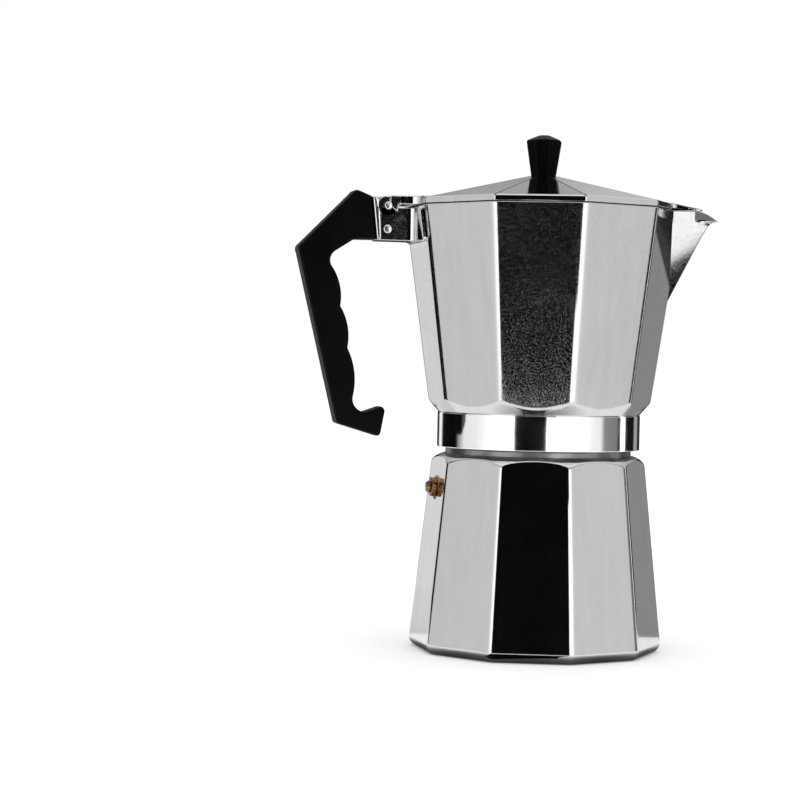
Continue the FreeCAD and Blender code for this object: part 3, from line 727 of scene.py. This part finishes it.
def headed_pin(name, radius, half, head, crown, reach, height):
    """A pin with a domed head at each end."""
    shaft = [(radius, half), (radius, -half)]
    dome = [(0.3 * head, crown), (0.8 * head, crown - 0.14, 0.4)]
    dome += [(head, crown - 0.42, 0.2), (head, half, 0.05)]
    section = dome + shaft + [(r, -z, *rest) for r, z, *rest in reversed(dome)]
    return crosswise(name, [(0, crown)] + rounded(section, 4) + [(0, -crown)], reach, height)


HEXAGON_CORNERS = [60 * k + 30 for k in range(-3, 3)]


def hexagon_row(turned):
    """Outline of the valve's hexagon where it is turned down to this radius."""
    flats = soften(radii([polar(5.3, angle) for angle in HEXAGON_CORNERS]), 2)
    return lesser(flats, turned, 0.2)


def valve_body():
    """Hexagon with turned chamfers, on a threaded shank through the wall."""
    untouched, thread_pitch = 90.0, 0.8
    rows = [(2.4, 54.6), (2.6, 55.0), (3.6, 55.0)]
    for turned, height in ((4.3, 55.0), (4.9, 54.7)):
        rows.append((hexagon_row(turned), height))
    for height in (54.2, 53.4, 52.4):
        rows.append((hexagon_row(untouched), height))
    rows += [(hexagon_row(5.0), 52.0), (4.2, 51.9), (4.0, 51.8)]
    for height in np.arange(51.2, 43.6, -0.1):
        ridge = 0.5 + 0.5 * np.cos(ANGLE - 2 * math.pi * height / thread_pitch)
        rows.append((3.75 + 0.22 * ridge, height))
    rows += [(3.7, 43.2), (3.5, 43.0), (1.6, 43.0), (1.6, 44.5), (2.6, 44.6), (2.6, 54.0)]
    chosen = picks(30, corners=HEXAGON_CORNERS)
    return skin("valve_housing", rows, chosen, loop=True, place=OUTWARD)


def valve_cap():
    section = [
        (0.95, 52.8), (0.95, 57.0, 0.1), (2.3, 57.0, 0.5), (2.9, 55.9, 0.4), (2.9, 55.05, 0.1),
        (2.55, 55.0), (2.55, 52.6, 0.1), (0.95, 52.6),
    ]
    return skin("valve_nose", rounded(section, 4), FINE_ROUND, loop=True, place=OUTWARD)


def valve_plunger():
    """The plunger, kept within its solid's length."""
    section = [
        (0.35, 57.5), (0.86, 57.4, 0.25), (0.86, 46.4, 0.05), (1.6, 46.3, 0.2), (1.9, 45.0, 0.3),
        (1.2, 44.4, 0.2), (0.5, 44.35),
    ]
    low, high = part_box("valve_plunger")
    tip, back = -low.x / MM, -high.x / MM
    rows = [(r, min(max(z, back), tip)) for r, z in rounded(section, 3)]
    return skin("valve_pin", [(0, tip)] + rows + [(0, back)], FINE_ROUND, place=OUTWARD)


def closed_ring(name, section, steps, chosen):
    """A ring from its whole section, which starts and ends part of the way along one side."""
    return skin(name, rounded(section + [section[0]], steps)[:-1], chosen, loop=True)


def valve_washer():
    inner, outer, low, high, edge = 4.05, 5.6, 51.3, 51.9, 0.12
    corners = [(outer, low, edge), (inner, low, edge), (inner, high, edge), (outer, high, edge)]
    washer = closed_ring("copper_washer", [(outer, (low + high) / 2)] + corners, 3, FINE_ROUND)
    return move(washer, OUTWARD)


def funnel_cup():
    """Spun basket with a rolled rim, a ledge for its plate, and a conical bottom."""
    inside = [
        (6.15, 68.2), (6.15, 73.6, 0.5), (30.5, 86.6, 0.3), (37.3, 86.6, 0.6), (37.3, 113.0, 0.5),
        (41.0, 113.0, 0.35),
    ]
    outside = [
        (41.0, 112.1, 0.3), (38.2, 112.1, 0.3), (38.2, 86.2, 1.0), (31.0, 86.2, 0.5),
        (7.0, 74.0, 0.8), (7.0, 68.0, 0.3), (6.15, 68.0, 0.3),
    ]
    return closed_ring("funnel_basket", inside + outside, 4, FINEST_ROUND)


def funnel_stem():
    section = [(6.1, 40), (6.1, 6.5, 0.25), (5.2, 6.5, 0.25), (5.2, 74.4, 0.2), (6.1, 74.4, 0.2)]
    return closed_ring("funnel_tube", section, 3, FINE_ROUND)


def gasket():
    inner, outer, low, high = 34.5, 41.0, 113.0, 117.0
    foot, top = [(outer, low, 0.7), (inner, low, 0.7)], [(inner, high, 0.5), (outer, high, 0.5)]
    return closed_ring("seal_ring", [(outer, (low + high) / 2)] + foot + top, 4, FINEST_ROUND)


def knob_screw():
    """Round head with a driving slot."""
    low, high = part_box("knob_screw")
    foot, top = low.z / MM, high.z / MM
    section = [
        (2.0, top), (2.0, foot + 2.4, 0.1), (4.2, foot + 2.4, 0.15), (4.2, foot + 1.3, 0.4),
        (2.6, foot, 1.2), (0.8, foot),
    ]
    screw = skin("screw_body", [(0, top)] + rounded(section, 5) + [(0, foot)], FINE_ROUND)
    slot = arcs([(-6, -0.5), (6, -0.5), (6, 0.5), (-6, 0.5)])
    return carve(screw, joined("blade", slab(slot, foot - 1, foot + 1.1, 0.05, upright=False)))


# Materials


def start(name):
    material = bpy.data.materials.new(name)
    material.use_nodes = True
    nodes, links = material.node_tree.nodes, material.node_tree.links
    shader = nodes["Principled BSDF"]
    coordinates = nodes.new("ShaderNodeTexCoord").outputs["Object"]
    return material, nodes, links, shader, coordinates


def scaled(nodes, links, source, scale):
    mapping = nodes.new("ShaderNodeMapping")
    mapping.inputs["Scale"].default_value = scale
    links.new(source, mapping.inputs["Vector"])
    return mapping.outputs["Vector"]


def noise(nodes, links, source, scale, detail=2.0, rough=0.5):
    texture = nodes.new("ShaderNodeTexNoise")
    texture.inputs["Scale"].default_value = scale
    texture.inputs["Detail"].default_value = detail
    texture.inputs["Roughness"].default_value = rough
    links.new(source, texture.inputs["Vector"])
    return texture.outputs["Fac"]


def ramp(nodes, links, source, *stops):
    """Value from a factor by (position, value) stops; a value may be a colour."""
    node = nodes.new("ShaderNodeValToRGB")
    elements = node.color_ramp.elements
    elements[0].position, elements[1].position = stops[0][0], stops[-1][0]
    for position, value in stops[1:-1]:
        elements.new(position)
    for element, (position, value) in zip(sorted(elements, key=lambda e: e.position), stops):
        element.color = (value, value, value, 1) if np.isscalar(value) else (*value, 1)
    links.new(source, node.inputs["Fac"])
    return node.outputs["Color"]


def combine(nodes, links, operation, a, b):
    node = nodes.new("ShaderNodeMath")
    node.operation = operation
    for index, value in enumerate((a, b)):
        if isinstance(value, (int, float)):
            node.inputs[index].default_value = value
        else:
            links.new(value, node.inputs[index])
    return node.outputs["Value"]


def times_plus(nodes, links, value, factor, added):
    """value * factor + added"""
    return combine(nodes, links, "ADD", combine(nodes, links, "MULTIPLY", value, factor), added)


def blend_colour(nodes, links, kind, factor, a, b):
    node = nodes.new("ShaderNodeMix")
    node.data_type = "RGBA"
    node.blend_type = kind
    for socket, value in (("Factor", factor), ("A", a), ("B", b)):
        if isinstance(value, bpy.types.NodeSocket):
            links.new(value, node.inputs[socket])
        else:
            node.inputs[socket].default_value = value
    return node.outputs["Result"]


def bump(nodes, links, height, strength, distance, before=None):
    node = nodes.new("ShaderNodeBump")
    node.inputs["Strength"].default_value = strength
    node.inputs["Distance"].default_value = distance * MM
    links.new(height, node.inputs["Height"])
    if before is not None:
        links.new(before, node.inputs["Normal"])
    return node.outputs["Normal"]


def cast_aluminium(name, roughness, grain, fineness=1500):
    """Polished casting with upright polishing marks and a pitted grain; its folds get painted shade, near
    black and not metallic.
    """
    material, nodes, links, shader, place = start(name)
    streaks = noise(nodes, links, scaled(nodes, links, place, (1, 1, 0.03)), 2600, 3)
    broad = noise(nodes, links, scaled(nodes, links, place, (1, 1, 0.12)), 160, 3)
    pits = noise(nodes, links, place, fineness, 2, 0.6)
    cloud = noise(nodes, links, place, 35, 3)
    # Painted shade: concave folds, found by pointiness, are coloured near black and lose their metal.
    creases = nodes.new("ShaderNodeNewGeometry").outputs["Pointiness"]
    plain = ramp(nodes, links, creases, (0.41, 0.0), (0.47, 1.0))
    shade = ramp(nodes, links, broad, (0.3, 0.54), (0.7, 0.575))
    colour = blend_colour(nodes, links, "MIX", plain, (0.01, 0.01, 0.01, 1), shade)
    links.new(colour, shader.inputs["Base Color"])
    links.new(plain, shader.inputs["Metallic"])
    shader.inputs["Specular IOR Level"].default_value = 0.0
    glint = ramp(nodes, links, pits, (0.46, 0.0), (0.68, 1.0))
    gloss = times_plus(nodes, links, cloud, 0.06, roughness - 0.03)
    links.new(times_plus(nodes, links, glint, 0.3 * grain, gloss), shader.inputs["Roughness"])
    polished = bump(nodes, links, streaks, 0.18, 0.02)
    links.new(bump(nodes, links, pits, 0.22 * grain, 0.05, polished), shader.inputs["Normal"])
    return material


def turned_metal(name, colour, roughness, lines, dark=0.75, depth=0.02, mottle=90):
    """Turned or spun metal: fine lines around the axis, and patches darker by the factor dark."""
    material, nodes, links, shader, place = start(name)
    grooves = noise(nodes, links, scaled(nodes, links, place, (0.02, 0.02, 1)), lines, 3)
    patches = noise(nodes, links, place, mottle, 4)
    low = tuple(c * dark for c in colour)
    links.new(ramp(nodes, links, patches, (0.35, low), (0.65, colour)), shader.inputs["Base Color"])
    shader.inputs["Metallic"].default_value = 1.0
    gloss = times_plus(nodes, links, patches, 0.12, roughness - 0.04)
    links.new(gloss, shader.inputs["Roughness"])
    links.new(bump(nodes, links, grooves, 0.2, depth), shader.inputs["Normal"])
    return material


def moulded_plastic(name):
    """Black phenolic: faint orange peel, dust specks, and edges painted a little lighter as a highlight."""
    material, nodes, links, shader, place = start(name)
    peel = noise(nodes, links, place, 900, 2)
    specks = noise(nodes, links, place, 3800, 1)
    cloud = noise(nodes, links, place, 60, 3)
    # Painted highlight: convex edges, found by pointiness, are coloured lighter.
    edge_pointiness = nodes.new("ShaderNodeNewGeometry").outputs["Pointiness"]
    deep, pale, highlight_on_edges = (0.0006, 0.0006, 0.0007), (0.0016, 0.0016, 0.0018), (0.02, 0.02, 0.021, 1)
    base = ramp(nodes, links, cloud, (0.3, deep), (0.7, pale))
    edge = ramp(nodes, links, edge_pointiness, (0.52, 0.0), (0.6, 1.0))
    edge_highlight = combine(nodes, links, "MULTIPLY", edge, 0.25)
    colour = blend_colour(nodes, links, "MIX", edge_highlight, base, highlight_on_edges)
    links.new(colour, shader.inputs["Base Color"])
    dust = ramp(nodes, links, specks, (0.62, 0.0), (0.75, 1.0))
    gloss = times_plus(nodes, links, cloud, 0.12, 0.30)
    links.new(times_plus(nodes, links, dust, 0.2, gloss), shader.inputs["Roughness"])
    shader.inputs["Specular IOR Level"].default_value = 0.05
    links.new(bump(nodes, links, peel, 0.12, 0.03), shader.inputs["Normal"])
    return material


def silicone(name):
    """Off-white seal, slightly yellowed and dusty."""
    material, nodes, links, shader, place = start(name)
    cloud = noise(nodes, links, place, 70, 4)
    grain = noise(nodes, links, place, 2500, 2)
    yellowed, plain = (0.60, 0.55, 0.45), (0.74, 0.70, 0.61)
    colour = ramp(nodes, links, cloud, (0.3, yellowed), (0.7, plain))
    links.new(colour, shader.inputs["Base Color"])
    links.new(times_plus(nodes, links, grain, 0.2, 0.42), shader.inputs["Roughness"])
    shader.inputs["Subsurface Weight"].default_value = 0.1
    shader.inputs["Subsurface Radius"].default_value = (0.002, 0.0015, 0.001)
    links.new(bump(nodes, links, grain, 0.15, 0.03), shader.inputs["Normal"])
    return material


aluminium = cast_aluminium("cast_aluminium", 0.05, 0.2)
grained_aluminium = cast_aluminium("grained_aluminium", 0.055, 0.7, 2050)
inside_aluminium = cast_aluminium("cast_aluminium_inside", 0.34, 1.0)
turned_aluminium = turned_metal("turned_aluminium", (0.9, 0.9, 0.905), 0.07, 2600, dark=0.94)
spun_aluminium = turned_metal("spun_aluminium", (0.84, 0.84, 0.85), 0.26, 1800, dark=0.88)
black_plastic = moulded_plastic("black_plastic")
rubber = silicone("rubber")
# On the brass the patches run from near black to bright: painted reflections, dark and highlighted blotches.
brass = turned_metal("brass", (0.30, 0.165, 0.08), 0.14, 1500, dark=0.05, depth=0.04, mottle=430)
# Painted shade for the lid's ridge creases: a near-black metal laid on the faces along them.
crease_painted_shade = turned_metal("crease_painted_shade", (0.02, 0.02, 0.02), 0.45, 900, dark=0.4)
# Painted shade for the neck ring under the collar: darker, rougher turned metal.
neck_painted_shade = turned_metal("neck_painted_shade", (0.30, 0.30, 0.31), 0.32, 2600, dark=0.5)
copper = turned_metal("copper", (0.62, 0.33, 0.2), 0.3, 1500, dark=0.5)
steel = turned_metal("steel", (0.66, 0.66, 0.68), 0.2, 1600, dark=0.8)


# The pieces on their bodies


def assign(obj, material, chosen):
    """Gives a second material to the faces that the test picks by their middle, in millimetres."""
    obj.data.materials.append(material)
    index = len(obj.data.materials) - 1
    for polygon in obj.data.polygons:
        if chosen(polygon.center / MM, polygon.normal):
            polygon.material_index = index
    return obj


def reach_of(middle):
    return math.hypot(middle.x, middle.y)


def faces_out(middle, normal):
    """How much a face turns away from the axis, from -1 to 1."""
    return (normal.x * middle.x + normal.y * middle.y) / max(reach_of(middle), 1e-9)


def is_lug(middle, normal):
    return middle.x < -62 and middle.z > 198


def is_collar(middle, normal):
    return middle.z < 117.25


def is_jug_inside(middle, normal):
    return 117.3 < middle.z < 217 and reach_of(middle) < 60 and faces_out(middle, normal) <= 0.3


def is_lid_inside(middle, normal):
    return normal.z < -0.2 and reach_of(middle) < 66


def is_crease(middle, normal):
    """The narrow creases between the roof's ten sides."""
    reach, turn = reach_of(middle), math.degrees(math.atan2(middle.y, middle.x))
    aside = reach * abs(math.sin(math.radians(turn % 36 - 18)))
    return normal.z > 0.5 and 9 < reach and aside < 0.42 and abs(turn) > 17


def is_neck(middle, normal):
    return middle.z > 96.9


# The neck ring under the collar, which gets painted shade.
def is_under_collar(middle, normal):
    return 95.6 < middle.z < 100.4 and reach_of(middle) > 44.5


def is_boiler_inside(middle, normal):
    wall = 3.9 < middle.z <= 96.9 and faces_out(middle, normal) < 0 and reach_of(middle) < 58
    return wall or (abs(middle.z - 4) < 0.1 and normal.z > 0.9)


jug = joined("jug", collector(), *lug(), pad())
chamber = column()
for obj in (jug, chamber):
    obj.data.materials.append(aluminium)
with_column = bmesh.new()
with_column.from_mesh(jug.data)
with_column.from_mesh(chamber.data)
with_column.to_mesh(jug.data)
with_column.free()
bpy.data.objects.remove(chamber)
finish_piece(jug, grained_aluminium, "collector", "collector", slot="cast_aluminium")
assign(jug, aluminium, is_lug)
assign(jug, turned_aluminium, is_collar)
assign(jug, inside_aluminium, is_jug_inside)

cover = joined("cover", lid_shell(), *lid_hinge())
finish_piece(cover, aluminium, "lid", "lid", slot="cast_aluminium")
assign(cover, inside_aluminium, is_lid_inside)
# The faces along the roof's creases get painted shade.
assign(cover, crease_painted_shade, is_crease)

base = boiler()
finish_piece(base, aluminium, "boiler", "boiler", slot="cast_aluminium")
assign(base, turned_aluminium, is_neck)
assign(base, neck_painted_shade, is_under_collar)
assign(base, inside_aluminium, is_boiler_inside)

grip = joined("grip", *handle())
finish_piece(grip, black_plastic, "collector", "handle", slot="black_plastic")
finish_piece(knob(), black_plastic, "lid", "knob", slot="black_plastic")
handle_rivet = headed_pin("handle_rivet", 1.6, 7.0, 2.1, 7.6, 80.3, 205.8)
finish_piece(handle_rivet, steel, "collector", "handle_pin", slot="steel")
hinge_rivet = headed_pin("hinge_rivet", 1.5, 8.75, 1.9, 9.45, 80.5, 217.0)
finish_piece(hinge_rivet, steel, "collector", "hinge_pin", slot="steel")
finish_piece(valve_body(), brass, "boiler", "valve_body", slot="brass")
finish_piece(valve_cap(), brass, "boiler", "valve_cap", slot="brass")
finish_piece(valve_plunger(), steel, "plunger", "valve_plunger", slot="steel")
finish_piece(valve_washer(), copper, "boiler", "valve_washer", slot="copper")
finish_piece(funnel_cup(), spun_aluminium, "funnel", "funnel_cup", slot="spun_aluminium")
finish_piece(funnel_stem(), spun_aluminium, "funnel", "funnel_stem", slot="spun_aluminium")
finish_piece(gasket(), rubber, "seal", "gasket", slot="rubber")
finish_piece(knob_screw(), steel, "lid", "knob_screw", slot="steel")

# Pieces that keep their CAD shape
carried = {
    "valve_spring": steel, "funnel_plate": spun_aluminium, "filter_plate": spun_aluminium,
    "knob_insert": brass, "knob_washer": steel,
}
for node, material in carried.items():
    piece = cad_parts[node]
    piece.data.materials.clear()
    piece.data.materials.append(material)


# Camera, floor and light

# The camera's place and its own axes, as fitted to the photo
CAMERA_AT = Vector((-315.41, -1036.83, 143.505)) * MM
RIGHT = Vector((0.97320, -0.22910, 0.01988))
UP = Vector((-0.01488, 0.02353, 0.99961))
AHEAD = Vector((0.22947, 0.97312, -0.01949))
FRONT = math.atan2(CAMERA_AT.y, CAMERA_AT.x)

camera = bpy.data.objects.new("camera", bpy.data.cameras.new("camera"))
camera.data.sensor_width = 36
camera.data.lens = 97.87
camera.data.clip_start = 0.05
camera.data.clip_end = 50
facing = Matrix((RIGHT, UP, -AHEAD)).transposed().to_4x4()
camera.matrix_world = Matrix.Translation(CAMERA_AT) @ facing
bpy.context.scene.collection.objects.link(camera)
bpy.context.scene.camera = camera
bpy.context.scene.view_settings.view_transform = "Standard"


# The stage is in metres


def flat_material(name, value):
    material, nodes, links, shader, place = start(name)
    cloud = noise(nodes, links, place, 4, 2)
    links.new(ramp(nodes, links, cloud, (0.3, value * 0.98), (0.7, value)), shader.inputs["Base Color"])
    shader.inputs["Roughness"].default_value = 0.9
    shader.inputs["Specular IOR Level"].default_value = 0.0
    return material


def board(name, corners, material, seen, mirrored):
    """A flat stage board. It may be hidden from the camera or from reflections."""
    mesh = bpy.data.meshes.new(name)
    mesh.from_pydata([tuple(c) for c in corners], [], [(0, 1, 2, 3)])
    obj = bpy.data.objects.new(name, mesh)
    bpy.context.scene.collection.objects.link(obj)
    mesh.materials.append(material)
    obj.visible_camera = seen
    obj.visible_diffuse = seen
    obj.visible_shadow = False
    obj.visible_glossy = mirrored
    return obj


def square(side, height):
    return [(-side, -side, height), (side, -side, height), (side, side, height), (-side, side, height)]


board("floor", square(12, 0), flat_material("floor_paper", 0.93), True, False)


def floor_painted_shadow():
    """What reflections see of the floor: a painted shadow that is dark at the pot's foot, and bright further
    out.
    """
    material, nodes, links, shader, place = start("floor_painted_shadow")
    length = nodes.new("ShaderNodeVectorMath")
    length.operation = "LENGTH"
    links.new(place, length.inputs[0])
    tones = [(0.057, 0.02), (0.064, 0.1), (0.072, 0.5), (0.09, 0.95), (0.4, 0.9)]
    tone = ramp(nodes, links, length.outputs["Value"], *tones)
    links.new(tone, shader.inputs["Base Color"])
    shader.inputs["Roughness"].default_value = 0.9
    return material


board("floor_painted_shadow", square(0.4, -0.0005), floor_painted_shadow(), False, True)


def around(degrees, distance):
    """A point of the floor at an angle from the camera's side of the pot, anticlockwise from above."""
    turn = FRONT + math.radians(degrees)
    return (distance * math.cos(turn), distance * math.sin(turn))


def upright(start, end, low, high):
    """Corners of an upright board that stands between two points, from one height to another."""
    return [(*start, low), (*end, low), (*end, high), (*start, high)]


def patch(name, left, right, near, far, material):
    """A flat piece of the floor that only reflections see, as a sector seen from the camera's side."""
    ends = [around(left, near), around(left, far), around(right, far), around(right, near)]
    return board(name, [(*end, 0.0002) for end in ends], material, False, True)


def glowing(name, strength):
    material = flat_material(name, 0.9)
    shader = material.node_tree.nodes["Principled BSDF"]
    shader.inputs["Emission Color"].default_value = (1, 1, 1, 1)
    shader.inputs["Emission Strength"].default_value = strength
    return material


# Boards that only reflections see
BLACK = 0.003
front = upright(around(-25, 0.47), around(8.5, 0.47), 0.0, 0.5)
board("dark_card", front, flat_material("dark_card", BLACK), False, True)
patch("dark_floor", -26, 10, 0.064, 0.12, flat_material("dark_floor", BLACK))
beside_spout = upright((0.38, -0.045), (0.38, 0.015), 0.0005, 0.26)
board("spout_card", beside_spout, glowing("spout_card", 0.6), False, True)
patch("left_floor", -165, -122, 0.08, 0.6, flat_material("left_floor", 0.75))
patch("right_floor", 124, 165, 0.08, 0.6, flat_material("right_floor", 0.3))
before_lug = upright((-0.07, -0.294), (0.006, -0.294), 0.111, 0.28)
board("bracket_card", before_lug, flat_material("bracket_card", BLACK), False, True)

# Brightness of the studio's walls by the angle from the camera's side
PANORAMA = [
    (-180, 0.03), (-156, 0.03), (-152, 0.95), (-143, 1.0), (-140, 0.003), (-106, 0.003),
    (-92, 0.9), (-76, 0.93), (-62, 1.1), (-50, 1.7), (-27, 2.0), (-25, 0.002),
    (8, 0.002), (10, 2.0), (48, 1.9), (60, 1.1), (68, 0.98), (75, 0.95), (80, 0.27),
    (100, 0.22), (103, 0.006), (137, 0.006), (140, 0.36), (148, 0.38), (153, 0.03), (180, 0.03),
]
FAR_WALL = [(0.1, 0.66), (0.44, 0.57), (0.48, 0.46), (0.52, 0.47), (0.56, 0.72), (0.9, 0.66)]

world = bpy.data.worlds.new("studio")
bpy.context.scene.world = world
world.use_nodes = True
nodes, links = world.node_tree.nodes, world.node_tree.links
background = nodes["Background"]
direction = nodes.new("ShaderNodeTexCoord").outputs["Generated"]
turned = nodes.new("ShaderNodeVectorRotate")
turned.rotation_type = "Z_AXIS"
turned.inputs["Angle"].default_value = -FRONT
links.new(direction, turned.inputs["Vector"])
parts = nodes.new("ShaderNodeSeparateXYZ")
links.new(turned.outputs["Vector"], parts.inputs["Vector"])
turn = combine(nodes, links, "ARCTAN2", parts.outputs["Y"], parts.outputs["X"])
share = combine(nodes, links, "ADD", combine(nodes, links, "DIVIDE", turn, 2 * math.pi), 0.5)
band = ramp(nodes, links, share, *[((angle + 180) / 360, value) for angle, value in PANORAMA])
low_right = ramp(nodes, links, share, (0.711, 1.0), (0.719, 0.02), (0.79, 0.02), (0.80, 1.0))
downwards = combine(nodes, links, "MULTIPLY", parts.outputs["Z"], -1.0)
below = ramp(nodes, links, downwards, (0.07, 0.0), (0.12, 1.0))
band = blend_colour(nodes, links, "MULTIPLY", below, band, low_right)
upper = ramp(nodes, links, parts.outputs["Z"], (0.22, 0.0), (0.3, 1.0))
across = combine(nodes, links, "ADD", parts.outputs["Y"], 0.5)
far_wall = ramp(nodes, links, across, *FAR_WALL)
height = ramp(nodes, links, parts.outputs["Z"], (0.5, 0.0), (0.8, 1.0))
wall = blend_colour(nodes, links, "MIX", upper, band, far_wall)
overhead = blend_colour(nodes, links, "MIX", height, wall, (1.25, 1.25, 1.25, 1))
rays = nodes.new("ShaderNodeLightPath")
diffuse = blend_colour(nodes, links, "MIX", rays.outputs["Is Diffuse Ray"], overhead, (1.3, 1.3, 1.3, 1))
seen = blend_colour(nodes, links, "MIX", rays.outputs["Is Camera Ray"], diffuse, (1.0, 1.0, 1.0, 1))
links.new(seen, background.inputs["Color"])
